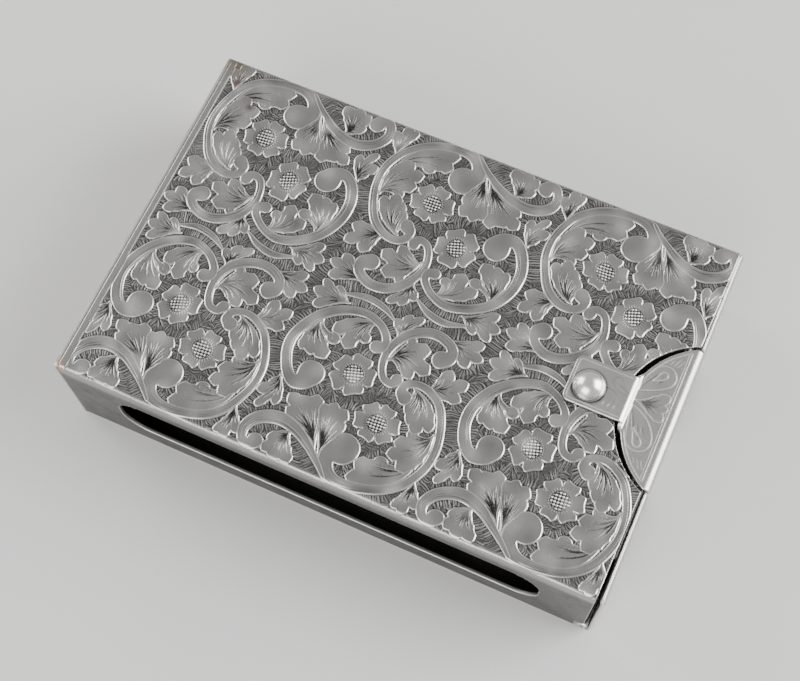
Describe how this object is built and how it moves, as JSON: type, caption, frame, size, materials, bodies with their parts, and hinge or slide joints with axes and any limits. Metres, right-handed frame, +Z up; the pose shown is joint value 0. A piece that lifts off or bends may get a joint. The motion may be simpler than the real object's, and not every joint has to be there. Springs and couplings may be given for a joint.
{
  "type": "business card case",
  "caption": "Flat engraved metal card case with windowed sides and a hinged end door held by a snap tab.",
  "frame": {"origin": "centre of the case's underside", "axes": "+X along the case towards the hinged door, +Y across the case, +Z up through the engraved top"},
  "size_m": [0.09, 0.06, 0.0239],
  "materials": {
    "engraved_sheet": "engraved, oxidised in the recesses, rubbed bright on the high spots",
    "base_sheet": "engraved, oxidised in the recesses",
    "end_sheet": "polished with fine scratches and a solder stain",
    "door_sheet": "polished, lightly engraved on the flap and tab",
    "pin_wire": "drawn wire, dull",
    "polished_stud": "mirror polished dome"
  },
  "bodies": {
    "case": {"case_shell": "engraved_sheet", "base_plate": "base_sheet", "end_wall": "end_sheet", "hinge_pin": "pin_wire"},
    "door": {"door_leaf": "door_sheet", "snap_stud": "polished_stud"}
  },
  "joints": [
    {"name": "door_hinge", "type": "hinge", "parent": "case", "child": "door", "pos_m": [0.04375, 0, 0.00125], "axis": [0, 1, 0], "range_deg": [0, 90]}
  ]
}
